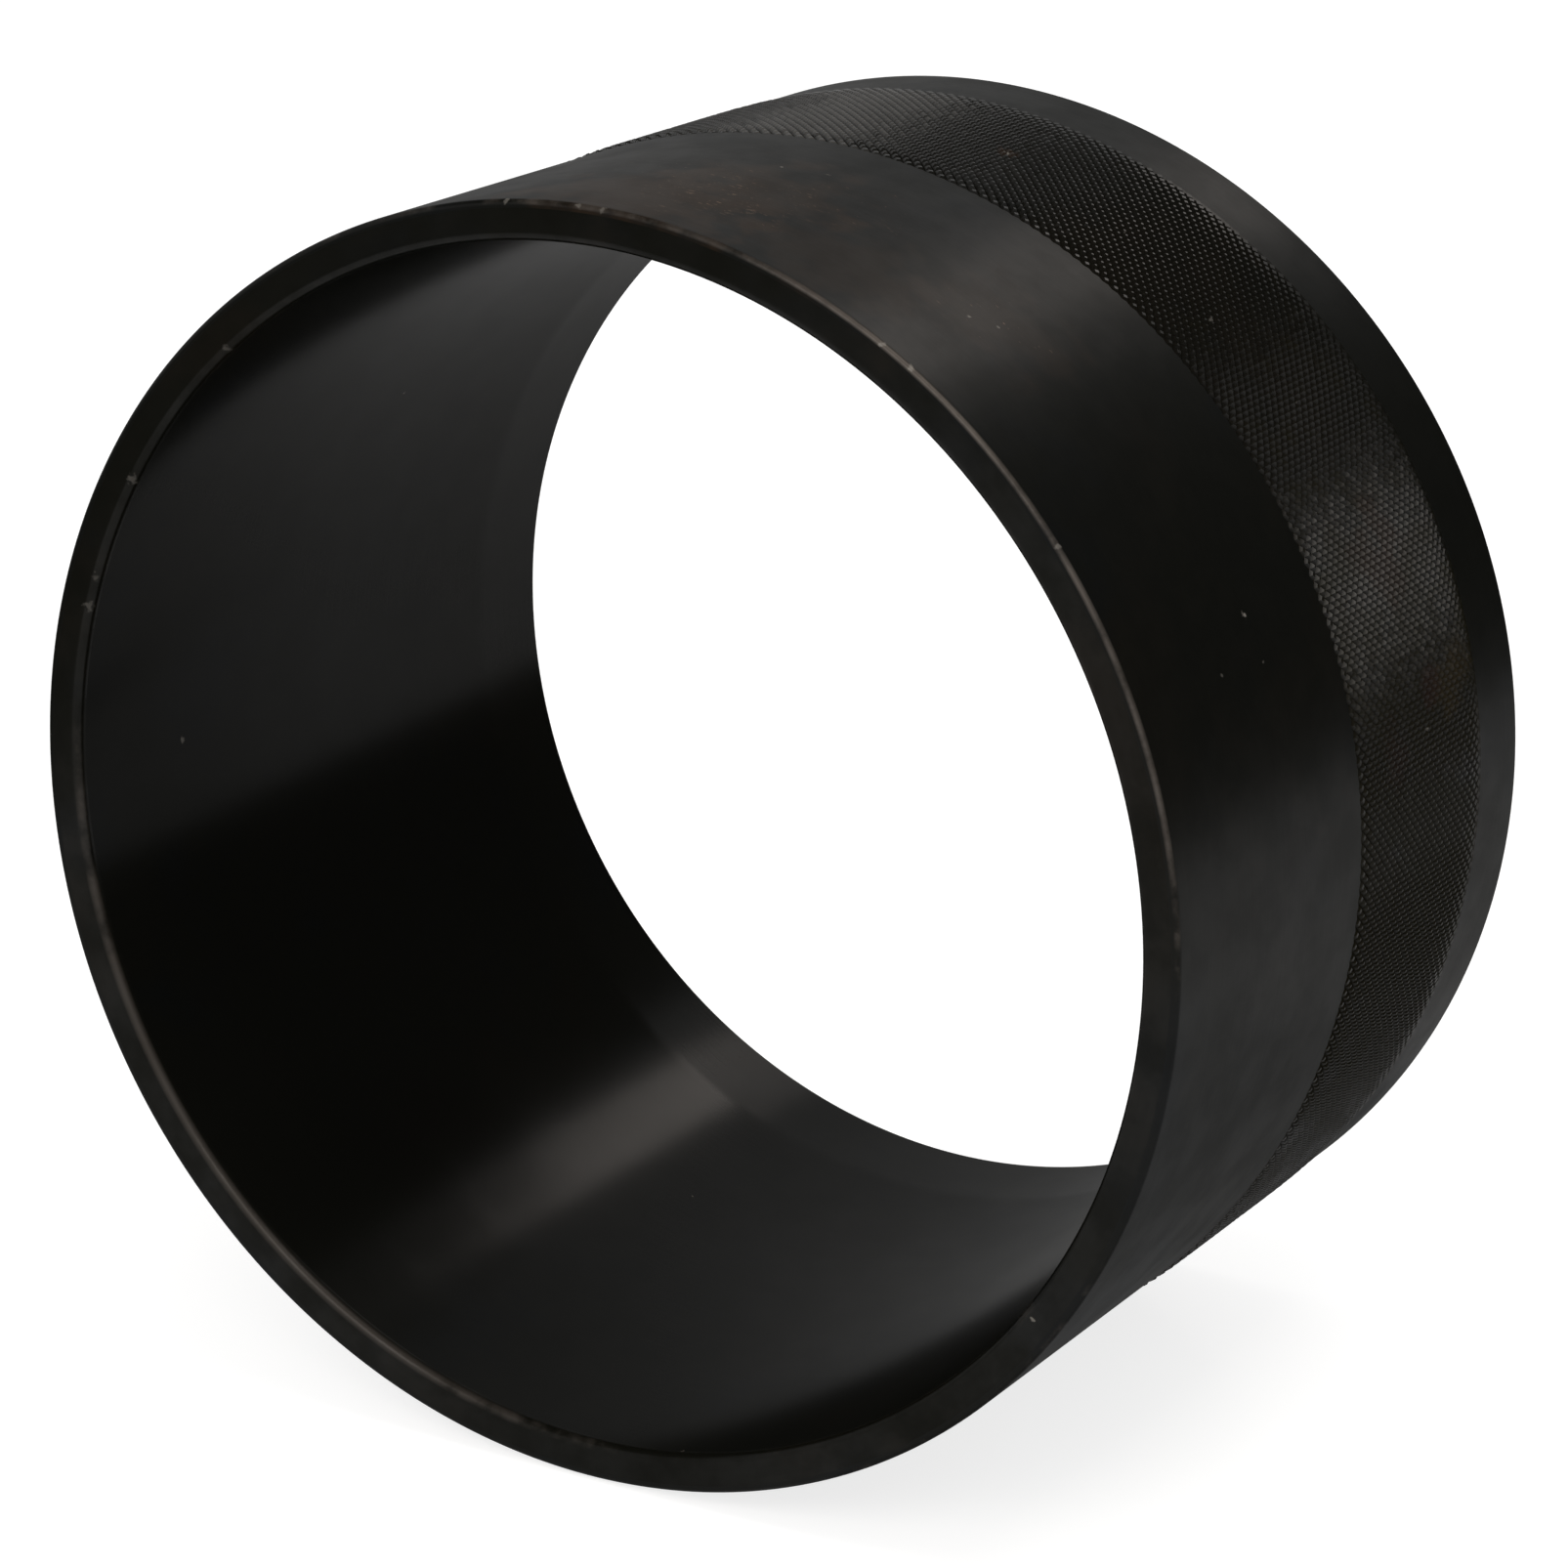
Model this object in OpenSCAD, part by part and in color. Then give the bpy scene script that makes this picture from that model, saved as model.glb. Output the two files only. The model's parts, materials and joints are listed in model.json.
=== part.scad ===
// Piston ring compressor: a turned steel sleeve that stands on a cylinder block.
// A piston goes in at the wide mouth, the cone closes its rings, and the parallel
// land at the seat end guides it into the cylinder. +Z is the sleeve's axis.

/* [Bore] */
// Diameter of the engine cylinder, and of the parallel land at the seat end
cylinder_d = 130; // [80:0.5:160]
// How much wider the mouth is than the cylinder, so that the free rings enter
ring_spread = 7; // [3:0.5:12]
// Height of the parallel land, measured from the seat
land_h = 13; // [3:0.5:20]

/* [Sleeve] */
// Height from the seat to the mouth face
sleeve_h = 90; // [70:1:140]
// Wall between the cone and the outside at the mouth
mouth_wall = 4.5; // [3:0.25:9]
// Bevel that narrows the outside down to the seat ring
seat_bevel = 4; // [1:0.5:5]

/* [Grip] */
// Height of the smooth rim between the seat bevel and the grip
rim_h = 10; // [4:0.5:16]
// Height of the knurled grip
grip_h = 32; // [20:1:36]
// How far the crests of the knurl stand out from the smooth outside
grip_rise = 0.3; // [0.1:0.05:0.8]
// Height over which the knurl runs out towards the rim
runout_h = 3; // [1:0.5:10]
// Spacing of the diamonds, around the grip and along it
knurl_pitch = 3.8; // [3.6:0.2:8]
// Depth of the diamonds, from crest to root
knurl_depth = 0.7; // [0.4:0.05:1]

/* [Edges] */
// Radius of the lead-in inside the mouth
mouth_lead = 1; // [0.4:0.1:1.4]
// Radius on the outer mouth edge
edge_round = 0.6; // [0.2:0.1:1.2]
// Bevel on the bore's lower edge
bore_break = 0.8; // [0.2:0.1:1.2]

/* [Hidden] */
$fn = 256;

land_r = cylinder_d / 2;
cone_r = land_r + ring_spread / 2;
outer_r = cone_r + mouth_wall;
grip_low_z = seat_bevel + rim_h;
grip_top_z = grip_low_z + grip_h;

// The knurled ring lies in a turned recess and reaches into the metal round it
bury = 0.3;
// Its ends start just under the smooth outside
seam = 0.02;
recess_r = outer_r + grip_rise - knurl_depth - 2 * bury;

// Grid of the knurl: crests and roots take turns along a row and from row to row
cols = 2 * round(2 * PI * outer_r / knurl_pitch);
rows = 2 * round(grip_h / knurl_pitch);
row_h = (grip_h - seam - 2 * bury) / rows;

// Quarter round of a mouth edge about radius r, drawn from the given angle on
round_steps = 5;
function quarter(r, size, from) = [
    for (k = [0:round_steps])
    let (a = from + 90 * k / round_steps)
    [r + size * cos(a), sleeve_h - size + size * sin(a)]
];

// Outside of the wall, from the seat up to the mouth face
outside = concat(
    [
        [outer_r - seat_bevel, 0],
        [outer_r, seat_bevel],
        [outer_r, grip_low_z],
        [recess_r, grip_low_z],
        [recess_r, grip_top_z],
        [outer_r, grip_top_z]
    ],
    quarter(outer_r - edge_round, edge_round, 0)
);

// Inside of the wall, from the mouth face down to the seat
inside = concat(
    quarter(cone_r + mouth_lead, mouth_lead, 90),
    [
        [land_r, land_h],
        [land_r, bore_break],
        [land_r + bore_break, 0]
    ]
);

// Height of a row of the knurl, and its share of the full tooth there
function row_z(j) = grip_low_z + seam + j * row_h;
function share(j) = min(1, (row_z(j) - grip_low_z) / runout_h);

// Radius of point i in row j: a crest where i + j is even, a root where it is odd
function rise(i, j) = (i + j) % 2 == 0 ? grip_rise : grip_rise - knurl_depth;
function tooth_r(i, j) = outer_r - seam + (rise(i, j) + seam) * share(j);

function spot(r, i, z) = [r * cos(360 * i / cols), r * sin(360 * i / cols), z];
function plain_ring(r, z) = [for (i = [0:cols - 1]) spot(r, i, z)];
function tooth_ring(j) = [for (i = [0:cols - 1]) spot(tooth_r(i, j), i, row_z(j))];

// Knurled ring: rows of diamonds between two buried ends, closed through the metal
module knurl() {
    core_r = recess_r - bury;
    low_z = grip_low_z - bury;
    high_z = grip_top_z + bury;
    rings = concat(
        [plain_ring(core_r, low_z), plain_ring(outer_r - bury, low_z)],
        [for (j = [0:rows]) tooth_ring(j)],
        [plain_ring(outer_r - bury, high_z), plain_ring(core_r, high_z)]
    );
    count = len(rings);
    points = [for (ring = rings) each ring];
    function at(i, j) = (j % count) * cols + i % cols;
    // Each cell is split from root to root, so that the crests become pyramids
    faces = [
        for (j = [0:count - 1], i = [0:cols - 1])
        let (a = at(i, j), b = at(i + 1, j), c = at(i + 1, j + 1), d = at(i, j + 1))
        each (i + j) % 2 == 0 ? [[a, d, b], [b, d, c]] : [[a, c, b], [a, d, c]]
    ];
    polyhedron(points, faces, convexity = 4);
}

module sleeve() {
    color([0.10, 0.095, 0.09])
    union() {
        rotate_extrude() polygon(concat(outside, inside));
        knurl();
    }
}

sleeve();
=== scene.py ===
import bpy
import json
import math
import numpy as np
from mathutils import Matrix, Vector


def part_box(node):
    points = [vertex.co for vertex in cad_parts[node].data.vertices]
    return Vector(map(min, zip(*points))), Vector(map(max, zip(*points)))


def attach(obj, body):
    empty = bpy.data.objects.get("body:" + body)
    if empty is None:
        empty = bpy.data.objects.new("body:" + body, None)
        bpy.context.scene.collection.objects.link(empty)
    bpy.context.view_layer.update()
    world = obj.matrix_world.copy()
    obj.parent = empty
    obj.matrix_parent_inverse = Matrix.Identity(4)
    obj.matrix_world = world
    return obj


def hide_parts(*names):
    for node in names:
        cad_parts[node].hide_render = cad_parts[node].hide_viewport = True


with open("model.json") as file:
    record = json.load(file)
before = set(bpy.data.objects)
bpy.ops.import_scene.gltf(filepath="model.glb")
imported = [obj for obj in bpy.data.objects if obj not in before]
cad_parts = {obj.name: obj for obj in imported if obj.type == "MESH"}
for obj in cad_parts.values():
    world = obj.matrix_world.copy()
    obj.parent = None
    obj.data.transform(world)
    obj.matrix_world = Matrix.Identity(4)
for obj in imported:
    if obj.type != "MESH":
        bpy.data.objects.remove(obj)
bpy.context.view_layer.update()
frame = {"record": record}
seatCorner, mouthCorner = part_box("sleeve")
mounts = {mount["name"]: mount for mount in frame["record"]["mounts"]}
print("frame loaded")

# Sleeve: sizes in metres, the overall ones come from the frame
sleeveForm = {
    "knurlRise": 0.0003,  # crests over the smooth outside
    "mouthWiden": 0.0035,  # mouth radius over land radius
    "seatBevel": 0.004,
    "rimHeight": 0.010,
    "gripHeight": 0.032,
    "mouthLead": 0.001,  # radius inside the mouth
    "mouthRound": 0.0006,  # radius outside it
    "landBlend": 0.03,  # radius between cone and land
    "tumbled": 0.00018,  # radius that tumbling leaves on the other edges
    "edgeHold": 0.0003,  # plain ring beside each edge
    "roundTurn": math.radians(12),  # step along an edge
    "sharpTurn": math.radians(28),  # edges that turn more are shaded sharp
}
landMount = mounts["exit_bore"]
landMiddle = landMount["pos_m"][2]
landHalf = landMount["dims"]["length_mm"] / 2000
sleeveForm["height"] = mouthCorner.z - seatCorner.z
sleeveForm["outerRadius"] = mouthCorner.x - sleeveForm["knurlRise"]
sleeveForm["landRadius"] = landMount["dims"]["r_mm"] / 1000
sleeveForm["landTop"] = landMiddle + landHalf
sleeveForm["boreBreak"] = landMiddle - landHalf

knurlForm = {
    "teeth": 324,  # diamonds around the grip
    "halfRows": 45,  # half diamonds along it
    "depth": 0.00042,  # crest to root
    "crestShare": 0.26,  # flat part of each diamond
    "endGap": 0.00025,  # plain ring beside each end of the grip
    "climb": 0.0025,  # the crests rise over the outside within this height
    "runStart": 0.0005,  # the teeth fade out just below the grip
    "runOut": 0.0022,  # and are two thirds formed after this height
    "runWobble": 0.0003,  # how unevenly they do so
    "wobbleWaves": (1, 2, 3, 5, 8, 13),  # waves around the grip that add up to it
    "waveSize": (0.3, 1.0),
    "topFade": 0.0015,  # the grooves get shallower towards the smooth band
    "topShare": 0.5,
    "flatLimit": 0.9,  # widest flat of a tooth that is hardly formed
    "heightSpread": 0.07,  # tooth to tooth
    "crestSpread": 0.07,
    "seed": 11,
}

finishes = ["turned", "knurled", "bore", "face"]  # order of the material slots
turnedSlot, knurledSlot, boreSlot, faceSlot = range(len(finishes))


def roundedPath(corners, form):
    # each inner corner becomes an arc between two plain rings; the arc keeps the finish before it
    path = []
    for k, (radius, height, finish, rub, size) in enumerate(corners):
        here = Vector((radius, height))
        if k == 0 or k == len(corners) - 1:
            path.append((here, 0.0, finish))
            continue
        before = corners[k - 1][2]
        back = (Vector(corners[k - 1][:2]) - here).normalized()
        ahead = (Vector(corners[k + 1][:2]) - here).normalized()
        turn = math.pi - back.angle(ahead)
        cut = size * math.tan(turn / 2)
        hold = cut + form["edgeHold"]
        centre = here + (back + ahead).normalized() * (size / math.cos(turn / 2))
        first = here + back * cut - centre
        last = here + ahead * cut - centre
        steps = max(2, math.ceil(turn / form["roundTurn"]))
        path.append((here + back * hold, 0.0, before))
        for step in range(steps + 1):
            share = step / steps
            arm = first * math.sin((1 - share) * turn) + last * math.sin(share * turn)
            path.append((centre + arm / math.sin(turn), rub * math.sin(math.pi * share), before))
        path.append((here + ahead * hold, 0.0, finish))
    return path


def ringPoints(radius, height, angles):
    return np.stack([radius * np.cos(angles), radius * np.sin(angles), height + 0 * angles], axis=1)


def shadedMesh(points, faces, slots, layers, sharpTurn, gripEnds):
    mesh = bpy.data.meshes.new("sleeveShell")
    mesh.from_pydata(np.concatenate(points).tolist(), [], faces)
    for name, values in layers.items():
        layer = mesh.attributes.new(name, "FLOAT", "POINT")
        layer.data.foreach_set("value", np.concatenate(values).astype(np.float32))
    mesh.polygons.foreach_set("material_index", slots)
    mesh.validate()
    mesh.shade_smooth()
    mesh.set_sharp_from_angle(angle=sharpTurn)

    # the smooth bands keep their own shading up to the grip
    atEnd = np.zeros(len(mesh.vertices), bool)
    atEnd[gripEnds] = True
    pairs = np.empty(2 * len(mesh.edges), int)
    mesh.edges.foreach_get("vertices", pairs)
    sharp = np.empty(len(mesh.edges), bool)
    mesh.edges.foreach_get("use_edge_sharp", sharp)
    mesh.edges.foreach_set("use_edge_sharp", sharp | atEnd[pairs.reshape(-1, 2)].all(axis=1))
    mesh.update()
    return mesh


def sleeveMesh(form, knurl):
    outer, land, tall = form["outerRadius"], form["landRadius"], form["height"]
    gripLow = form["seatBevel"] + form["rimHeight"]
    gripTop = gripLow + form["gripHeight"]
    mouth = land + form["mouthWiden"]
    lead, lowBreak, small = form["mouthLead"], form["boreBreak"], form["tumbled"]
    slope = form["mouthWiden"] / (tall - lead - form["landTop"])
    corners = [  # radius, height, finish from here on, rub, rounding
        (outer, gripTop + knurl["endGap"], turnedSlot, 0.0, 0.0),
        (outer, tall, faceSlot, 1.0, form["mouthRound"]),
        (mouth + lead * slope, tall, boreSlot, 0.5, lead),
        (land, form["landTop"], boreSlot, 0.0, form["landBlend"]),
        (land, lowBreak, turnedSlot, 0.4, small),
        (land + lowBreak, 0, turnedSlot, 0.8, small),
        (outer - form["seatBevel"], 0, turnedSlot, 1.0, small),
        (outer, form["seatBevel"], turnedSlot, 0.8, small),
        (outer, gripLow - knurl["endGap"], turnedSlot, 0.0, 0.0),
    ]
    path = roundedPath(corners, form)
    teeth, halfRows = knurl["teeth"], knurl["halfRows"]
    fine = 2 * teeth
    coarseAngles = np.arange(teeth) * 2 * math.pi / teeth
    fineAngles = np.arange(fine) * 2 * math.pi / fine
    points, edges, crests, faces, slots = [], [], [], [], []

    def addPoints(batch, edge, crest):
        start = sum(map(len, points))
        points.append(batch)
        edges.append(np.broadcast_to(edge, len(batch)))
        crests.append(np.broadcast_to(crest, len(batch)))
        return start + np.arange(len(batch))

    # plain rings from the top of the grip over the mouth, down the bore and up to the grip again
    rings = [addPoints(ringPoints(*spot, coarseAngles), edge, 0.0) for spot, edge, finish in path]
    for k in range(len(rings) - 1):
        near, far = rings[k], rings[k + 1]
        faces += np.stack([near, np.roll(near, -1), np.roll(far, -1), far], axis=1).tolist()
        slots += [path[k][2]] * teeth

    # how far the teeth are formed: they fade towards the rim, a little unevenly
    rng = np.random.default_rng(knurl["seed"])
    waves = []
    for n in knurl["wobbleWaves"]:
        size = rng.uniform(*knurl["waveSize"]) / n ** 0.5
        waves.append((n, size, rng.uniform(0, 2 * math.pi)))

    def formed(angle, height):
        wobble = sum(size * np.sin(n * angle + phase) for n, size, phase in waves)
        along = height - gripLow + knurl["runStart"] + knurl["runWobble"] * wobble
        low = (1 - np.exp(-np.maximum(along, 0) / knurl["runOut"])) * (height > gripLow)
        return low * (1 - (1 - knurl["topShare"]) * max(0, 1 - (gripTop - height) / knurl["topFade"]))

    def raised(height):
        along = min(1, (gripTop - height) / knurl["climb"])
        return form["knurlRise"] * along * along * (3 - 2 * along)

    # root points of the grip, on a grid of half diamonds
    rowStep = form["gripHeight"] / halfRows
    rootIndex = -np.ones((halfRows + 1, fine), int)
    for j in range(halfRows + 1):
        height = gripLow + j * rowStep
        onEdge = j in (0, halfRows)
        cols = np.arange(fine) if onEdge else np.arange((j + 1) % 2, fine, 2)
        angles = fineAngles[cols]
        drop = (knurl["depth"] - raised(height)) * formed(angles, height)
        if onEdge:
            drop[j % 2::2] = 0  # crests of the half diamonds
        rootIndex[j, cols] = addPoints(ringPoints(outer - drop, height, angles), 0.0, 0.0)

    # diamonds: a small flat crest and four flanks each
    for j in range(1, halfRows):
        height = gripLow + j * rowStep
        cols = np.arange(j % 2, fine, 2)
        angles = fineAngles[cols]
        share = formed(angles, height)
        lift = raised(height) * share * (1 + rng.normal(0, knurl["heightSpread"], len(cols)))
        flat = knurl["crestShare"] * (1 + rng.normal(0, knurl["crestSpread"], len(cols)))
        flat = np.minimum(1 - share * (1 - flat), knurl["flatLimit"])
        turn = flat * math.pi / teeth
        climb = flat * rowStep
        crestRadius = np.minimum(outer + lift, outer + form["knurlRise"])
        sides = [
            addPoints(ringPoints(crestRadius, height, angles + turn), 0.0, share),
            addPoints(ringPoints(crestRadius, height + climb, angles), 0.0, share),
            addPoints(ringPoints(crestRadius, height, angles - turn), 0.0, share),
            addPoints(ringPoints(crestRadius, height - climb, angles), 0.0, share),
        ]
        roots = [
            rootIndex[j, (cols + 1) % fine],
            rootIndex[j + 1, cols],
            rootIndex[j, (cols - 1) % fine],
            rootIndex[j - 1, cols],
        ]
        faces += np.stack(sides, axis=1).tolist()
        for k in range(len(sides)):
            n = (k + 1) % len(sides)
            faces += np.stack([roots[k], roots[n], sides[n], sides[k]], axis=1).tolist()
        slots += [knurledSlot] * ((1 + len(sides)) * len(cols))

    # half diamonds at both ends of the grip
    for j, inner in ((0, 1), (halfRows, halfRows - 1)):
        cols = np.arange(j % 2, fine, 2)
        peak = rootIndex[j, cols]
        left, right = rootIndex[j, (cols - 1) % fine], rootIndex[j, (cols + 1) % fine]
        root = rootIndex[inner, cols]
        for corner in ((peak, right, root), (left, peak, root)):
            corner = corner if j == 0 else corner[::-1]
            faces += np.stack(corner, axis=1).tolist()
        slots += [knurledSlot] * (2 * len(cols))

    # the grid's end rows have two points for each one of the plain rings
    for coarse, row, above in ((rings[0], rootIndex[halfRows], True), (rings[-1], rootIndex[0], False)):
        a, mid, b = row[0::2], row[1::2], np.roll(row[0::2], -1)
        near, far = coarse, np.roll(coarse, -1)
        for corner in ((a, mid, near), (mid, far, near), (mid, b, far)):
            corner = corner if above else corner[::-1]
            faces += np.stack(corner, axis=1).tolist()
        slots += [turnedSlot] * (3 * teeth)

    layers = {"edgeRub": edges, "toothCrest": crests}
    gripEnds = rootIndex[[0, halfRows]].ravel()
    return shadedMesh(points, faces, slots, layers, form["sharpTurn"], gripEnds)


sleeve = bpy.data.objects.new("sleeveShell", sleeveMesh(sleeveForm, knurlForm))
bpy.context.scene.collection.objects.link(sleeve)
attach(sleeve, "root")
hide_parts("sleeve")
print("sleeve built:", len(sleeve.data.vertices), "points,", len(sleeve.data.polygons), "faces")


# Node helpers
def addNode(tree, kind, **settings):
    node = tree.nodes.new(kind)
    for name, value in settings.items():
        setattr(node, name, value)
    return node


def feed(tree, socket, value):
    if isinstance(value, bpy.types.NodeSocket):
        tree.links.new(value, socket)
    else:
        socket.default_value = value


def calc(tree, operation, a, b=0.0):
    node = addNode(tree, "ShaderNodeMath", operation=operation)
    feed(tree, node.inputs[0], a)
    feed(tree, node.inputs[1], b)
    return node.outputs[0]


def remap(tree, value, low, high, toLow=0.0, toHigh=1.0):
    node = addNode(tree, "ShaderNodeMapRange", interpolation_type="SMOOTHSTEP")
    for socket, item in zip(node.inputs, (value, low, high, toLow, toHigh)):
        feed(tree, socket, item)
    return node.outputs[0]


def blendColor(tree, share, a, b):
    node = addNode(tree, "ShaderNodeMix", data_type="RGBA")
    feed(tree, node.inputs[0], share)
    feed(tree, node.inputs[6], a)
    feed(tree, node.inputs[7], b)
    return node.outputs[2]


def noise(tree, vector, scale, detail, roughness):
    node = addNode(tree, "ShaderNodeTexNoise")
    feed(tree, node.inputs["Vector"], vector)
    node.inputs["Scale"].default_value = scale
    node.inputs["Detail"].default_value = detail
    node.inputs["Roughness"].default_value = roughness
    return node.outputs["Fac"]


def newGroup(name, inputs, outputs):
    tree = bpy.data.node_groups.new(name, "ShaderNodeTree")
    for label, kind, value in inputs:
        socket = tree.interface.new_socket(label, in_out="INPUT", socket_type=kind)
        socket.default_value = value
    for label, kind in outputs:
        tree.interface.new_socket(label, in_out="OUTPUT", socket_type=kind)
    return tree, addNode(tree, "NodeGroupInput"), addNode(tree, "NodeGroupOutput")


def placeGroup(tree, group, **values):
    node = addNode(tree, "ShaderNodeGroup", node_tree=group)
    for name, value in values.items():
        feed(tree, node.inputs[name], value)
    return node


floatKind, colorKind, vectorKind = "NodeSocketFloat", "NodeSocketColor", "NodeSocketVector"


def objectPlace(tree):
    return addNode(tree, "ShaderNodeTexCoord").outputs["Object"]


# Oxide tone: a plain black with cool and warm patches, and a gloss that is smudged
toneForm = {
    "broad": (24.0, 3.0, 0.55),  # each noise: scale per metre, detail and roughness
    "drift": (41.0, 3.0, 0.55),
    "fine": (170.0, 4.0, 0.62),
    "grain": (1400.0, 2.0, 0.6),
    "fineShare": 0.25,  # what the fine noise adds to the warm patches
    "warmRange": (0.44, 0.62),  # from none of a patch to all of it
    "coolRange": (0.50, 0.66),
    "fineRange": (0.32, 0.68),  # from dull to glossy
    "driftRange": (0.3, 0.7),
    "grainRange": (0.3, 0.7),
    "grainLevel": (0.98, 1.02),
}


def makeOxideTone(form):
    tree, given, out = newGroup(
        "oxideTone",
        [
            ("Plain", colorKind, (0, 0, 0, 1)),
            ("Cool", colorKind, (0, 0, 0, 1)),
            ("Warm", colorKind, (0, 0, 0, 1)),
            ("Warmth", floatKind, 0.5),
            ("Smudge", floatKind, 0.1),
        ],
        [("Color", colorKind), ("Sheen", floatKind)],
    )
    place = objectPlace(tree)
    broad = calc(tree, "MULTIPLY", noise(tree, place, *form["broad"]), 1 - form["fineShare"])
    drift = noise(tree, place, *form["drift"])
    fine = noise(tree, place, *form["fine"])
    grain = noise(tree, place, *form["grain"])
    mixed = calc(tree, "ADD", broad, calc(tree, "MULTIPLY", fine, form["fineShare"]))
    shifted = calc(tree, "ADD", mixed, calc(tree, "SUBTRACT", given.outputs["Warmth"], 0.5))
    warm = remap(tree, shifted, *form["warmRange"])
    cool = remap(tree, drift, *form["coolRange"])
    tinted = blendColor(tree, cool, given.outputs["Plain"], given.outputs["Cool"])
    tinted = blendColor(tree, warm, tinted, given.outputs["Warm"])
    scaled = addNode(tree, "ShaderNodeVectorMath", operation="SCALE")
    feed(tree, scaled.inputs[0], tinted)
    feed(tree, scaled.inputs["Scale"], remap(tree, grain, *form["grainRange"], *form["grainLevel"]))
    tree.links.new(scaled.outputs[0], out.inputs["Color"])
    low = calc(tree, "SUBTRACT", 1.0, given.outputs["Smudge"])
    high = calc(tree, "ADD", 1.0, given.outputs["Smudge"])
    patchy = remap(tree, fine, *form["fineRange"], low, high)
    sheen = calc(tree, "MULTIPLY", patchy, remap(tree, drift, *form["driftRange"], low, high))
    tree.links.new(sheen, out.inputs["Sheen"])
    return tree


# Tool rings: the fine lines that turning leaves, around the axis on every face
ringForm = {"detail": 2.0, "range": (0.3, 0.7)}


def makeToolRings(form):
    tree, given, out = newGroup("toolRings", [("Spacing", floatKind, 0.0003)], [("Lines", floatKind)])
    split = addNode(tree, "ShaderNodeSeparateXYZ")
    tree.links.new(objectPlace(tree), split.inputs[0])
    x, y, z = split.outputs
    square = calc(tree, "ADD", calc(tree, "MULTIPLY", x, x), calc(tree, "MULTIPLY", y, y))
    along = calc(tree, "ADD", calc(tree, "SQRT", square), z)
    lines = addNode(tree, "ShaderNodeTexNoise", noise_dimensions="1D")
    tree.links.new(calc(tree, "DIVIDE", along, given.outputs["Spacing"]), lines.inputs["W"])
    lines.inputs["Scale"].default_value = 1.0
    lines.inputs["Detail"].default_value = form["detail"]
    tree.links.new(remap(tree, lines.outputs["Fac"], *form["range"], -1.0, 1.0), out.inputs["Lines"])
    return tree


# Rubbed edges: bare metal where the oxide has worn off, in broken stretches, and a painted highlight
# where the amount is raised
rubForm = {
    "broken": (210.0, 5.0, 0.7),
    "patches": (30.0, 2.0, 0.5),
    "patchShare": 0.45,
    "wornRange": (0.68, 0.98),
}


def makeRubbedAndHighlightEdges(form):
    tree, given, out = newGroup("rubbedAndHighlightEdges", [("Amount", floatKind, 0.5)], [("Mask", floatKind)])
    place = objectPlace(tree)
    rub = addNode(tree, "ShaderNodeAttribute", attribute_name="edgeRub").outputs["Fac"]
    broken = calc(tree, "MULTIPLY", noise(tree, place, *form["broken"]), 1 - form["patchShare"])
    patches = calc(tree, "MULTIPLY", noise(tree, place, *form["patches"]), form["patchShare"])
    chance = calc(tree, "ADD", broken, patches)
    worn = remap(tree, calc(tree, "ADD", chance, given.outputs["Amount"]), *form["wornRange"])
    tree.links.new(calc(tree, "MULTIPLY", worn, rub), out.inputs["Mask"])
    return tree


# Specks: sparse grains of dust and tiny nicks
speckForm = {"pickRange": (0.6, 1.0)}  # cells under it stay empty


def makeSpecks(form):
    inputs = [("Cells", floatKind, 90.0), ("Size", floatKind, 0.05)]
    tree, given, out = newGroup("specks", inputs, [("Mask", floatKind)])
    cells = addNode(tree, "ShaderNodeTexVoronoi", feature="F1")
    tree.links.new(objectPlace(tree), cells.inputs["Vector"])
    tree.links.new(given.outputs["Cells"], cells.inputs["Scale"])
    chosen = addNode(tree, "ShaderNodeSeparateColor")
    tree.links.new(cells.outputs["Color"], chosen.inputs[0])
    picked = remap(tree, chosen.outputs[0], *form["pickRange"])
    reach = calc(tree, "MULTIPLY", given.outputs["Size"], picked)
    inside = calc(tree, "LESS_THAN", cells.outputs["Distance"], reach)
    tree.links.new(calc(tree, "MULTIPLY", inside, chosen.outputs[1]), out.inputs["Mask"])
    return tree


# Mark: one ragged spot at a place of its own
markForm = {
    "detail": 3.0,
    "swing": 4.0,  # how far full raggedness moves the spot's edge
    "fade": (1.0, 0.3),  # from its edge to where it is full, as shares of its reach
}


def makeMark(form):
    inputs = [
        ("Centre", vectorKind, (0, 0, 0)),
        ("Reach", floatKind, 0.001),
        ("Ragged", floatKind, 0.5),
        ("Grain", floatKind, 1300.0),
        ("Share", floatKind, 1.0),
    ]
    tree, given, out = newGroup("mark", inputs, [("Mask", floatKind)])
    place = objectPlace(tree)
    apart = addNode(tree, "ShaderNodeVectorMath", operation="DISTANCE")
    tree.links.new(place, apart.inputs[0])
    tree.links.new(given.outputs["Centre"], apart.inputs[1])
    away = calc(tree, "DIVIDE", apart.outputs["Value"], given.outputs["Reach"])
    rough = addNode(tree, "ShaderNodeTexNoise")
    tree.links.new(place, rough.inputs["Vector"])
    tree.links.new(given.outputs["Grain"], rough.inputs["Scale"])
    rough.inputs["Detail"].default_value = form["detail"]
    uneven = calc(tree, "SUBTRACT", rough.outputs["Fac"], 0.5)
    swing = calc(tree, "MULTIPLY", uneven, given.outputs["Ragged"])
    ragged = calc(tree, "ADD", away, calc(tree, "MULTIPLY", swing, form["swing"]))
    spot = remap(tree, ragged, *form["fade"])
    tree.links.new(calc(tree, "MULTIPLY", spot, given.outputs["Share"]), out.inputs["Mask"])
    return tree


# Flecks: short fine dashes along the turning direction
fleckForm = {
    "stretch": (1000, 1000, 3000),  # per metre
    "dashes": (1.0, 2.0, 0.6),
    "none": 0.80,  # noise level of the dashes at no density
    "gain": 0.28,  # and how far full density lowers it
    "edge": 0.08,
}


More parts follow.
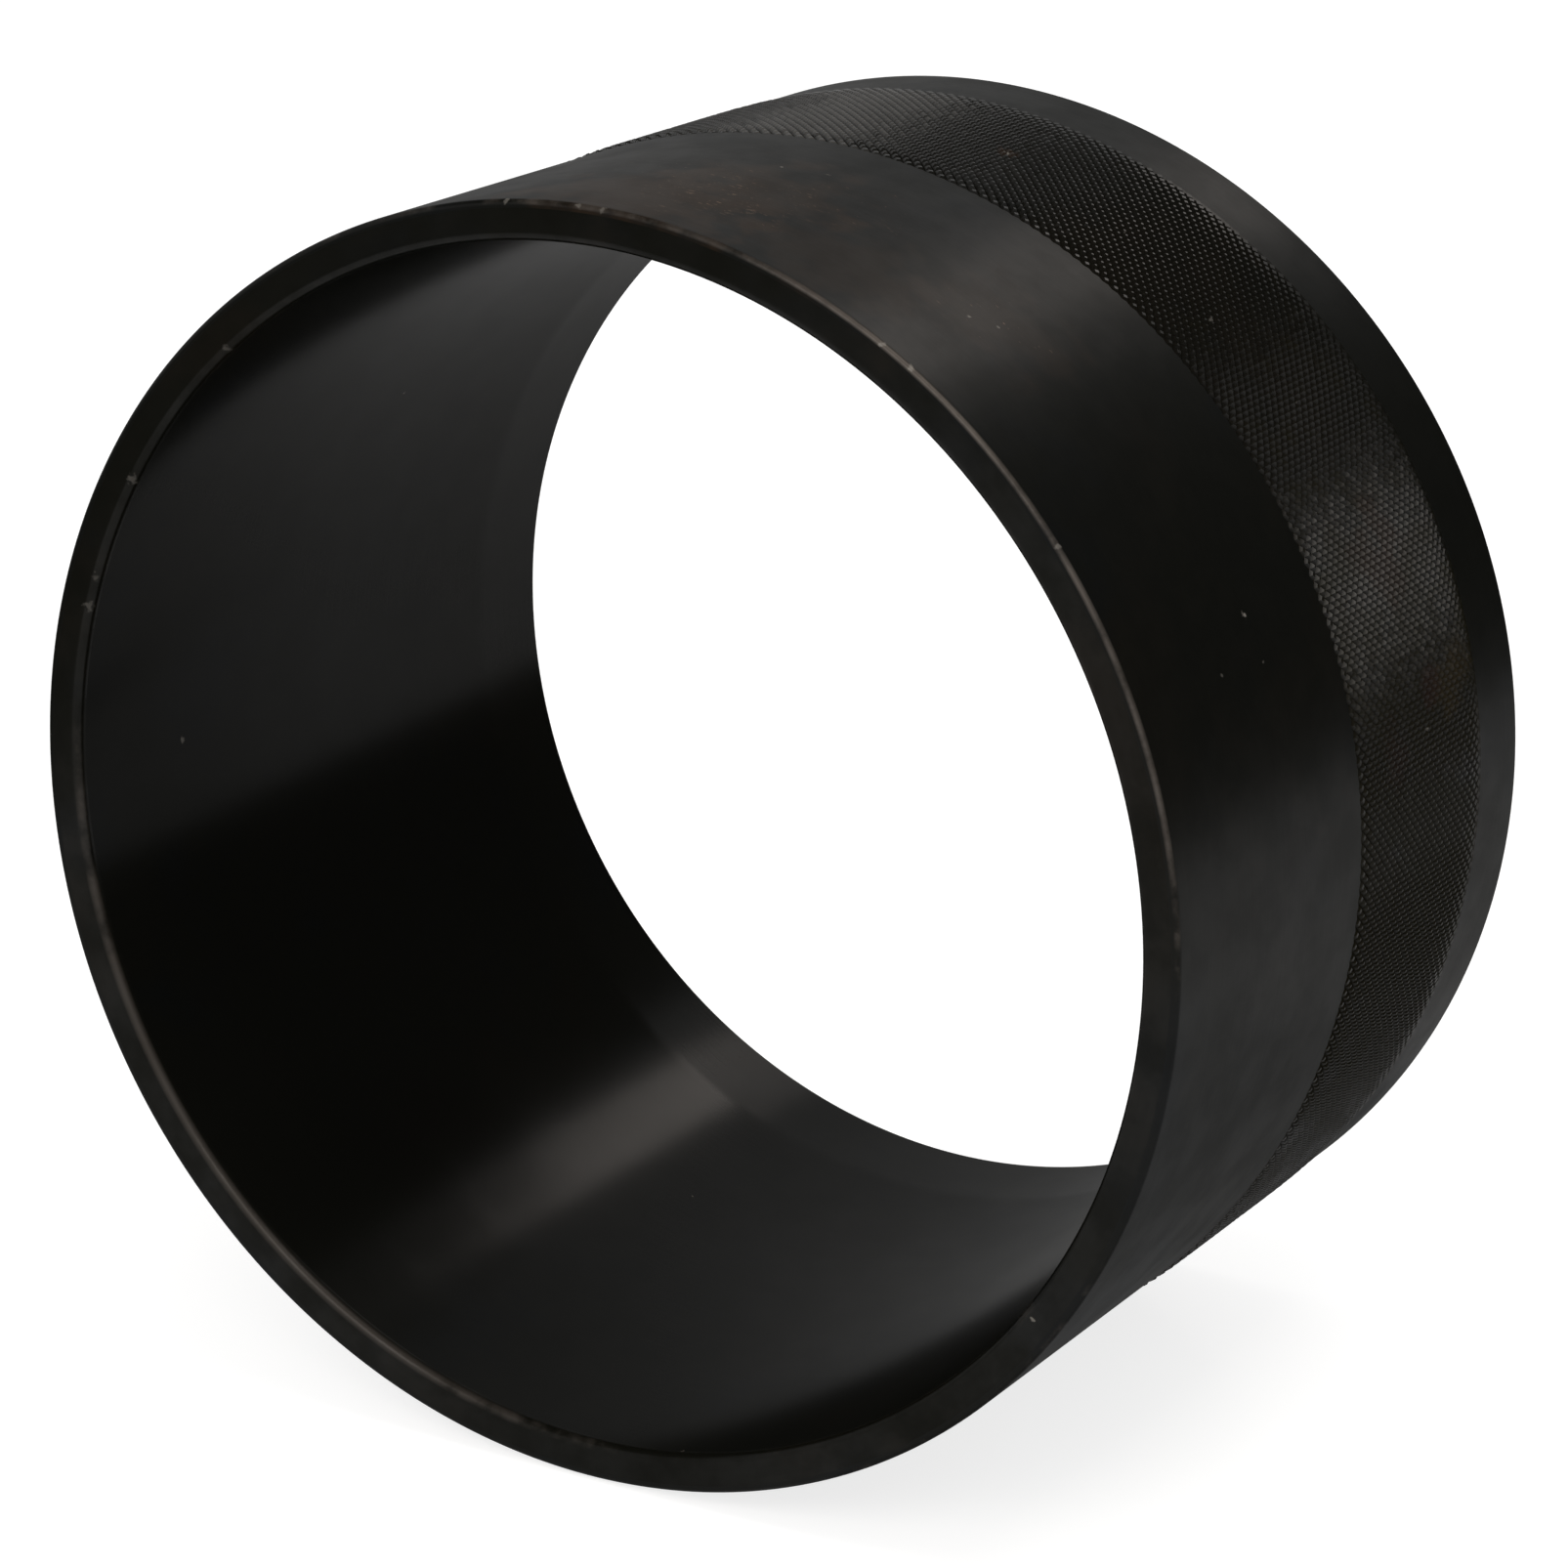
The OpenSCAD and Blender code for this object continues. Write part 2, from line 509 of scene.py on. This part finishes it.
def makeFlecks(form):
    tree, given, out = newGroup("flecks", [("Density", floatKind, 0.5)], [("Mask", floatKind)])
    stretch = addNode(tree, "ShaderNodeVectorMath", operation="MULTIPLY")
    tree.links.new(objectPlace(tree), stretch.inputs[0])
    stretch.inputs[1].default_value = form["stretch"]
    dashes = noise(tree, stretch.outputs[0], *form["dashes"])
    lowered = calc(tree, "MULTIPLY", given.outputs["Density"], form["gain"])
    over = calc(tree, "SUBTRACT", dashes, calc(tree, "SUBTRACT", form["none"], lowered))
    tree.links.new(remap(tree, over, 0.0, form["edge"]), out.inputs["Mask"])
    return tree


oxideTone = makeOxideTone(toneForm)
toolRings = makeToolRings(ringForm)
rubbedAndHighlightEdges = makeRubbedAndHighlightEdges(rubForm)
specks = makeSpecks(speckForm)
mark = makeMark(markForm)
flecks = makeFlecks(fleckForm)

# Looks: the oxide is nearly black, and its gloss is an oil film over it
turnedLook = {
    "plain": (0.0040, 0.0042, 0.0034, 1),
    "cool": (0.0034, 0.0040, 0.0042, 1),
    "warm": (0.0050, 0.0047, 0.0036, 1),
    "warmth": 0.48,
    "smudge": 0.09,
    "gloss": 0.17,
    "glossRoughness": 0.29,
    "filmIndex": 1.5,
    "ringSpacing": 0.00035,
    "ringDepth": 0.03,
    "rub": 0.14,
    "rubAndHighlightPatch": ((-0.0400, -0.0600, 0.0897), 0.080, 0.24),  # more of it here, partly real rub and partly a painted highlight along the outer mouth edge: place, reach and gain
    "rubAndHighlightEdge": (0.2, 240.0),  # raggedness and grain, as for the other marks below
    "rubAndHighlightMetal": 0.6,  # metal share where the oxide is gone and where the highlight is painted
    "rubAndHighlightColor": (0.075, 0.065, 0.057, 1),
    "speckCells": 95.0,
    "speckSize": 0.03,
    "speckColor": (0.08, 0.07, 0.06, 1),
    "roughness": 0.45,
    "nickColor": (0.15, 0.14, 0.125, 1),
    "nickEdge": (0.8, 1900.0),
    "nicks": [  # place, reach and strength
        ((-0.0660, -0.0313, 0.0626), 0.00042, 1.0),
        ((-0.0681, -0.0263, 0.0620), 0.00025, 0.3),
        ((-0.0678, -0.0271, 0.0711), 0.00025, 0.3),
        ((-0.0079, -0.0726, 0.0601), 0.00028, 0.7),
        ((-0.0127, -0.0719, 0.0582), 0.00028, 0.5),
        ((-0.0384, -0.0621, 0.0730), 0.00030, 0.6),
        ((-0.0406, -0.0607, 0.0706), 0.00030, 0.5),
        ((-0.0412, -0.0603, 0.0898), 0.00055, 0.9),
        ((-0.0376, -0.0623, 0.0898), 0.00040, 0.8),
        ((-0.0581, -0.0438, 0.0898), 0.00040, 0.6),
        ((0.0079, -0.0724, 0.0898), 0.00040, 0.5),
        ((-0.0010, -0.0728, 0.0898), 0.00040, 0.5),
        ((-0.0040, -0.0727, 0.0898), 0.00045, 0.5),
        ((-0.0622, -0.0316, 0.0900), 0.00040, 0.6),
    ],
    "hazeAndShadeEdge": (0.5, 240.0),
    "hazeAndShadeSpots": [  # place, reach, strength and colour
        ((-0.0046, -0.0729, 0.0820), 0.018, 0.60, (0.0200, 0.0115, 0.0060, 1)),
        ((-0.0109, -0.0722, 0.0700), 0.015, 0.50, (0.0180, 0.0110, 0.0062, 1)),
        ((-0.0257, -0.0683, 0.0800), 0.014, 0.45, (0.0150, 0.0095, 0.0055, 1)),
        ((-0.0395, -0.0614, 0.0690), 0.011, 0.40, (0.0130, 0.0085, 0.0052, 1)),
    ],
    "fleckColor": (0.075, 0.050, 0.034, 1),
    "fleckEdge": (0.4, 240.0),
    "fleckPatches": [  # place, reach and density
        ((-0.0110, -0.0722, 0.0750), 0.012, 0.62),
        ((0.0010, -0.0730, 0.0695), 0.009, 0.50),
        ((-0.0200, -0.0702, 0.0640), 0.010, 0.36),
        ((-0.0395, -0.0614, 0.0690), 0.009, 0.38),
    ],
}
knurledLook = dict(
    turnedLook,
    plain=(0.0054, 0.0052, 0.0041, 1),
    cool=(0.0046, 0.0048, 0.0042, 1),
    warm=(0.0064, 0.0056, 0.0041, 1),
    warmth=0.51,
    smudge=0.05,
    gloss=0.36,
    glossRoughness=0.22,
    ringDepth=0.0,
    speckSize=0.02,
    grooveGloss=0.45,  # share of the film that the grooves keep
    crestRange=(0.1, 0.85),  # from groove to crest
    nicks=[
        ((-0.0722, -0.0105, 0.0279), 0.00030, 0.5),
        ((-0.0726, -0.0078, 0.0370), 0.00030, 0.4),
        ((-0.0725, -0.0084, 0.0270), 0.00030, 0.4),
        ((-0.0196, -0.0703, 0.0304), 0.00042, 0.9),
        ((-0.0479, -0.0553, 0.0349), 0.00040, 0.6),
        ((-0.0363, -0.0636, 0.0334), 0.00030, 0.5),
        ((-0.0269, -0.0681, 0.0367), 0.00030, 0.4),
        ((-0.0604, -0.0414, 0.0350), 0.00028, 0.4),
        ((-0.0566, -0.0465, 0.0310), 0.00028, 0.5),
    ],
    hazeAndShadeFilmCut=0.4,  # film lost under them
    hazeAndShadeSpots=[
        # the first spot tints a broad stretch of the grip faintly brown and thins its film, so that
        # side mirrors less
        ((-0.0723, 0.0102, 0.0300), 0.060, 0.85, (0.0085, 0.0075, 0.0042, 1)),
        ((-0.0718, -0.0136, 0.0210), 0.0050, 0.60, (0.0170, 0.0120, 0.0045, 1)),
        ((-0.0714, -0.0157, 0.0175), 0.0040, 0.50, (0.0150, 0.0110, 0.0045, 1)),
        ((-0.0715, -0.0152, 0.0260), 0.0030, 0.50, (0.0170, 0.0080, 0.0065, 1)),
        ((-0.0671, -0.0290, 0.0310), 0.0060, 0.50, (0.0150, 0.0085, 0.0060, 1)),
        ((-0.0655, -0.0325, 0.0270), 0.0050, 0.50, (0.0150, 0.0085, 0.0060, 1)),
        ((-0.0725, -0.0094, 0.0360), 0.0045, 0.50, (0.0130, 0.0075, 0.0060, 1)),
        ((-0.0196, -0.0703, 0.0304), 0.0016, 0.60, (0.0200, 0.0110, 0.0060, 1)),
    ],
    fleckPatches=[],
)
boreLook = dict(
    turnedLook,
    plain=(0.0040, 0.0041, 0.0032, 1),
    cool=(0.0037, 0.0040, 0.0037, 1),
    warm=(0.0044, 0.0042, 0.0031, 1),
    warmth=0.46,
    smudge=0.025,
    gloss=0.155,
    glossRoughness=0.17,
    ringSpacing=0.0004,
    speckSize=0.02,
    mouthShadeShare=0.62,  # painted shade: share of the film left at the mouth, so the bore mirrors less there
    mouthShadeHeights=(0.034, 0.088),  # heights from full film to that share
    nicks=[((0.0677, 0.0015, 0.0716), 0.00045, 0.6), ((0.0558, -0.0358, 0.0414), 0.00035, 0.5)],
    hazeAndShadeFilmCut=0.65,
    hazeAndShadeEdge=(0.04, 240.0),
    # painted shade: spots in the plain colour that thin the film, cutting the lamp's reflection short
    # on one side of the bore towards the mouth
    hazeAndShadeSpots=[
        ((0.0405, 0.0546, 0.0840), 0.022, 0.90, (0.0040, 0.0041, 0.0032, 1)),
        ((0.0405, 0.0546, 0.0700), 0.021, 0.85, (0.0040, 0.0041, 0.0032, 1)),
        ((0.0405, 0.0546, 0.0570), 0.018, 0.60, (0.0042, 0.0040, 0.0033, 1)),
    ],
    fleckPatches=[],
)
faceLook = dict(
    turnedLook,
    plain=(0.0046, 0.0046, 0.0034, 1),
    cool=(0.0040, 0.0042, 0.0036, 1),
    warm=(0.0066, 0.0055, 0.0038, 1),
    smudge=0.26,
    gloss=0.165,
    glossRoughness=0.24,
    # painted highlight along the inner mouth edge at the lower left, over real edge rub
    rubAndHighlightPatch=((0.0486, 0.0486, 0.0897), 0.060, 0.42),
    speckSize=0.05,
    nicks=[
        ((-0.0568, 0.0409, 0.0900), 0.00030, 0.8),
        ((0.0593, -0.0353, 0.0899), 0.00075, 0.30),
        ((0.0662, -0.0195, 0.0899), 0.00070, 0.28),
        ((0.0454, -0.0519, 0.0899), 0.00065, 0.25),
        ((0.0650, -0.0231, 0.0899), 0.00050, 0.25),
    ],
    hazeAndShadeSpots=[],
    fleckPatches=[],
)


def spotMask(tree, edge, centre, reach, share=1.0):
    ragged, grain = edge
    node = placeGroup(tree, mark, Centre=centre, Reach=reach, Ragged=ragged, Grain=grain, Share=share)
    return node.outputs["Mask"]


# Colour: hazes and painted shade spots, flecks, rubbed edges with painted highlights, dust and nicks
# over the oxide
def steelColor(tree, look, base, hazeAndShadeSpots, rubbedAndHighlight):
    for mask, hazeAndShadeSpot in zip(hazeAndShadeSpots, look["hazeAndShadeSpots"]):
        base = blendColor(tree, mask, base, hazeAndShadeSpot[-1])
    for centre, reach, density in look["fleckPatches"]:
        dashes = placeGroup(tree, flecks, Density=density).outputs["Mask"]
        dashes = calc(tree, "MULTIPLY", dashes, spotMask(tree, look["fleckEdge"], centre, reach))
        base = blendColor(tree, dashes, base, look["fleckColor"])
    base = blendColor(tree, rubbedAndHighlight, base, look["rubAndHighlightColor"])
    speck = placeGroup(tree, specks, Cells=look["speckCells"], Size=look["speckSize"]).outputs["Mask"]
    base = blendColor(tree, speck, base, look["speckColor"])
    for nick in look["nicks"]:
        base = blendColor(tree, spotMask(tree, look["nickEdge"], *nick), base, look["nickColor"])
    return base


# Film: thinner under the hazes and painted shade spots, in the grooves and towards the mouth as painted
# shade, and ringed by the tool
def filmWeight(tree, look, sheen, hazeAndShadeSpots):
    film = calc(tree, "MULTIPLY", sheen, look["gloss"])
    # film cut under the hazes and under the bore's painted shade spots
    if "hazeAndShadeFilmCut" in look:
        dry = hazeAndShadeSpots[0]
        for mask in hazeAndShadeSpots[1:]:
            dry = calc(tree, "MAXIMUM", mask, dry)
        left = calc(tree, "SUBTRACT", 1.0, calc(tree, "MULTIPLY", dry, look["hazeAndShadeFilmCut"]))
        film = calc(tree, "MULTIPLY", film, left)
    if "grooveGloss" in look:
        crest = addNode(tree, "ShaderNodeAttribute", attribute_name="toothCrest").outputs["Fac"]
        left = remap(tree, crest, *look["crestRange"], look["grooveGloss"], 1.0)
        film = calc(tree, "MULTIPLY", film, left)
    # painted shade: the film thins towards the mouth, so the bore mirrors less there
    if "mouthShadeShare" in look:
        split = addNode(tree, "ShaderNodeSeparateXYZ")
        tree.links.new(objectPlace(tree), split.inputs[0])
        left = remap(tree, split.outputs["Z"], *look["mouthShadeHeights"], 1.0, look["mouthShadeShare"])
        film = calc(tree, "MULTIPLY", film, left)
    if look["ringDepth"]:
        rings = placeGroup(tree, toolRings, Spacing=look["ringSpacing"]).outputs["Lines"]
        ringed = calc(tree, "ADD", 1.0, calc(tree, "MULTIPLY", rings, look["ringDepth"]))
        film = calc(tree, "MULTIPLY", film, ringed)
    return film


def blackSteel(name, look):
    material = bpy.data.materials.new(name)
    material.use_nodes = True
    tree = material.node_tree
    shader = tree.nodes["Principled BSDF"]
    tone = placeGroup(
        tree,
        oxideTone,
        Plain=look["plain"],
        Cool=look["cool"],
        Warm=look["warm"],
        Warmth=look["warmth"],
        Smudge=look["smudge"],
    )
    # rubbed edges, raised by the patch into a painted highlight along the mouth edge
    amount = calc(tree, "ADD", spotMask(tree, look["rubAndHighlightEdge"], *look["rubAndHighlightPatch"]), look["rub"])
    rubbedAndHighlight = placeGroup(tree, rubbedAndHighlightEdges, Amount=amount).outputs["Mask"]
    hazeAndShadeSpots = [spotMask(tree, look["hazeAndShadeEdge"], *hazeAndShadeSpot[:3]) for hazeAndShadeSpot in look["hazeAndShadeSpots"]]
    base = steelColor(tree, look, tone.outputs["Color"], hazeAndShadeSpots, rubbedAndHighlight)
    tree.links.new(base, shader.inputs["Base Color"])
    tree.links.new(calc(tree, "MULTIPLY", rubbedAndHighlight, look["rubAndHighlightMetal"]), shader.inputs["Metallic"])
    film = filmWeight(tree, look, tone.outputs["Sheen"], hazeAndShadeSpots)
    tree.links.new(film, shader.inputs["Coat Weight"])
    shader.inputs["Roughness"].default_value = look["roughness"]
    shader.inputs["Specular IOR Level"].default_value = 0.0
    shader.inputs["Coat Roughness"].default_value = look["glossRoughness"]
    shader.inputs["Coat IOR"].default_value = look["filmIndex"]
    return material


for finish, look in zip(finishes, (turnedLook, knurledLook, boreLook, faceLook)):
    sleeve.data.materials.append(blackSteel(finish + "Black", look))
print("finishes made")

# Shot: the sleeve lies on its side, so the picture's up is -Y
shot = {
    "lens": 118.47,
    "sensor": 36.0,
    "place": (-0.29215, -0.180487, 0.534332),
    "aim": (0.018101, 0.014167, 0.016094),
    "up": (0, -1, 0),
}


def lookAt(place, aim, up):
    back = (Vector(place) - Vector(aim)).normalized()
    right = Vector(up).cross(back).normalized()
    turn = Matrix((right, back.cross(right), back)).transposed()
    return Matrix.Translation(place) @ turn.to_4x4()


camera = bpy.data.objects.new("shotCamera", bpy.data.cameras.new("shotCamera"))
camera.data.lens, camera.data.sensor_width = shot["lens"], shot["sensor"]
camera.matrix_world = lookAt(shot["place"], shot["aim"], shot["up"])
bpy.context.scene.collection.objects.link(camera)
bpy.context.scene.camera = camera
print("camera placed")

# Stage: a white table under the sleeve's side, a white room, and dark cards that the steel mirrors
stageForm = {
    "floorSize": 12.0,
    "floorGlow": 0.78,  # share of the floor's white that shadows can't take away
    "floorLit": 0.40,
    "floorColor": (0.8, 0.8, 0.8, 1),
    "roomLight": 0.55,
    "cardColor": (0.07, 0.07, 0.065, 1),
}
cards = {  # width and depth; standing ones face the sleeve, flat ones lie on the table or hang over it
    "backCard": {"place": (-0.85, -0.56, -0.80), "normal": (0, 0, 1), "size": (1.3, 1.26)},
    "rightCard": {"place": (-1.5, -0.40, -0.05), "normal": (1, 0, 0), "size": (1.5, 0.95)},
    "topCard": {"place": (0.2, -1.5, 0.2), "normal": (0, 1, 0), "size": (3.6, 3.0)},
    "frontTable": {"place": (0.70, 0.068, 0.60), "normal": (0, -1, 0), "size": (1.0, 1.1)},
    "backTable": {"place": (-0.85, 0.068, -0.59), "normal": (0, -1, 0), "size": (1.3, 0.42)},
}
shadeForm = {  # the table beside the contact, as the steel mirrors it: a glowing panel with a painted shadow, darker towards the sleeve
    "place": (-0.115, 0.0731, 0.025),
    "normal": (0, -1, 0),
    "size": (0.17, 0.15),
    "span": (-0.055, 0.065),
    "glow": (1.16, 0.58),
}
lamps = {
    "topBox": {
        "place": (-0.34, -0.94, 0.075),
        "up": (0, 0, 1),
        "size": (0.36, 0.40),
        "power": 2.6,
        "color": (1, 0.95, 0.89),
    },
    "frontBox": {
        "place": (-0.2, -0.8, 1.05),
        "up": (0, -1, 0),
        "size": (1.0, 0.6),
        "power": 6.5,
        "color": (1, 0.95, 0.90),
    },
    "backStrip": {
        "place": (-0.094, -1.032, -1.2),
        "up": (0.256, 0.967, 0),
        "size": (0.26, 0.18),
        "power": 1.02,
        "color": (1, 0.91, 0.84),
    },
    "lowStrip": {
        "place": (0.03, -0.73, -1.2),
        "up": (0, 1, 0),
        "size": (0.30, 0.26),
        "power": 0.43,
        "color": (1, 0.91, 0.84),
    },
}


def seenRay(tree):
    path = addNode(tree, "ShaderNodeLightPath")
    direct = calc(tree, "MAXIMUM", path.outputs["Is Camera Ray"], path.outputs["Is Glossy Ray"])
    return calc(tree, "MAXIMUM", direct, path.outputs["Is Transmission Ray"])


def panel(name, width, depth, matrix):
    x, y = width / 2, depth / 2
    mesh = bpy.data.meshes.new(name)
    mesh.from_pydata([(-x, -y, 0), (x, -y, 0), (x, y, 0), (-x, y, 0)], [], [(0, 1, 2, 3)])
    item = bpy.data.objects.new(name, mesh)
    item.matrix_world = matrix
    bpy.context.scene.collection.objects.link(item)
    return item


def floorMaterial(form):
    material = bpy.data.materials.new("paleFloor")
    material.use_nodes = True
    tree = material.node_tree
    tree.nodes.clear()
    glow = addNode(tree, "ShaderNodeEmission")
    glow.inputs["Strength"].default_value = form["floorGlow"]
    thin = addNode(tree, "ShaderNodeBsdfDiffuse")
    thin.inputs["Color"].default_value = [form["floorLit"]] * 3 + [1]
    plain = addNode(tree, "ShaderNodeBsdfDiffuse")
    plain.inputs["Color"].default_value = form["floorColor"]
    both = addNode(tree, "ShaderNodeAddShader")
    tree.links.new(glow.outputs[0], both.inputs[0])
    tree.links.new(thin.outputs[0], both.inputs[1])
    front = addNode(tree, "ShaderNodeMixShader")
    feed(tree, front.inputs[0], seenRay(tree))
    tree.links.new(plain.outputs[0], front.inputs[1])
    tree.links.new(both.outputs[0], front.inputs[2])
    side = addNode(tree, "ShaderNodeMixShader")
    tree.links.new(addNode(tree, "ShaderNodeNewGeometry").outputs["Backfacing"], side.inputs[0])
    tree.links.new(front.outputs[0], side.inputs[1])
    tree.links.new(addNode(tree, "ShaderNodeBsdfTransparent").outputs[0], side.inputs[2])
    tree.links.new(side.outputs[0], addNode(tree, "ShaderNodeOutputMaterial").inputs[0])
    return material


floorHeight = mouthCorner.y
floorTurn = Matrix.Translation((0, floorHeight, 0)) @ Matrix.Rotation(math.radians(90), 4, "X")
floor = panel("paleFloor", stageForm["floorSize"], stageForm["floorSize"], floorTurn)
floor.data.materials.append(floorMaterial(stageForm))


def cardMaterial(form):
    material = bpy.data.materials.new("darkCard")
    material.use_nodes = True
    shader = material.node_tree.nodes["Principled BSDF"]
    shader.inputs["Base Color"].default_value = form["cardColor"]
    shader.inputs["Roughness"].default_value = 1.0
    return material


def shadeMaterial(form):
    material = bpy.data.materials.new("shadedTable")
    material.use_nodes = True
    tree = material.node_tree
    tree.nodes.clear()
    across = addNode(tree, "ShaderNodeSeparateXYZ")
    tree.links.new(objectPlace(tree), across.inputs[0])
    glow = addNode(tree, "ShaderNodeEmission")
    fade = remap(tree, across.outputs["X"], *form["span"], *form["glow"])
    tree.links.new(fade, glow.inputs["Strength"])
    tree.links.new(glow.outputs[0], addNode(tree, "ShaderNodeOutputMaterial").inputs[0])
    return material


# only the steel's reflections show these panels
def mirroredPanel(name, form, material):
    place, normal = Vector(form["place"]), Vector(form["normal"])
    up = (0, 0, 1) if normal.y else (0, -1, 0)
    item = panel(name, *form["size"], lookAt(place, place - normal, up))
    item.data.materials.append(material)
    item.visible_camera = False
    item.visible_diffuse = False
    item.visible_shadow = False


darkCard = cardMaterial(stageForm)
for name, card in cards.items():
    mirroredPanel(name, card, darkCard)
mirroredPanel("shadedTable", shadeForm, shadeMaterial(shadeForm))

sleeveMiddle = (0, 0, sleeveForm["height"] / 2)
for name, lamp in lamps.items():
    light = bpy.data.lights.new(name, "AREA")
    light.shape = "RECTANGLE"
    light.size, light.size_y = lamp["size"]
    light.energy = lamp["power"]
    light.color = lamp["color"]
    lampObject = bpy.data.objects.new(name, light)
    lampObject.matrix_world = lookAt(lamp["place"], sleeveMiddle, lamp["up"])
    lampObject.visible_camera = False
    bpy.context.scene.collection.objects.link(lampObject)

world = bpy.data.worlds.new("whiteRoom")
world.use_nodes = True
bpy.context.scene.world = world
roomTree = world.node_tree
background = roomTree.nodes["Background"]
background.inputs["Color"].default_value = (1, 1, 1, 1)
seenShare = calc(roomTree, "MULTIPLY", seenRay(roomTree), 1 - stageForm["roomLight"])
roomStrength = calc(roomTree, "ADD", seenShare, stageForm["roomLight"])
roomTree.links.new(roomStrength, background.inputs["Strength"])
bpy.context.scene.view_settings.view_transform = "Standard"
print("stage set")
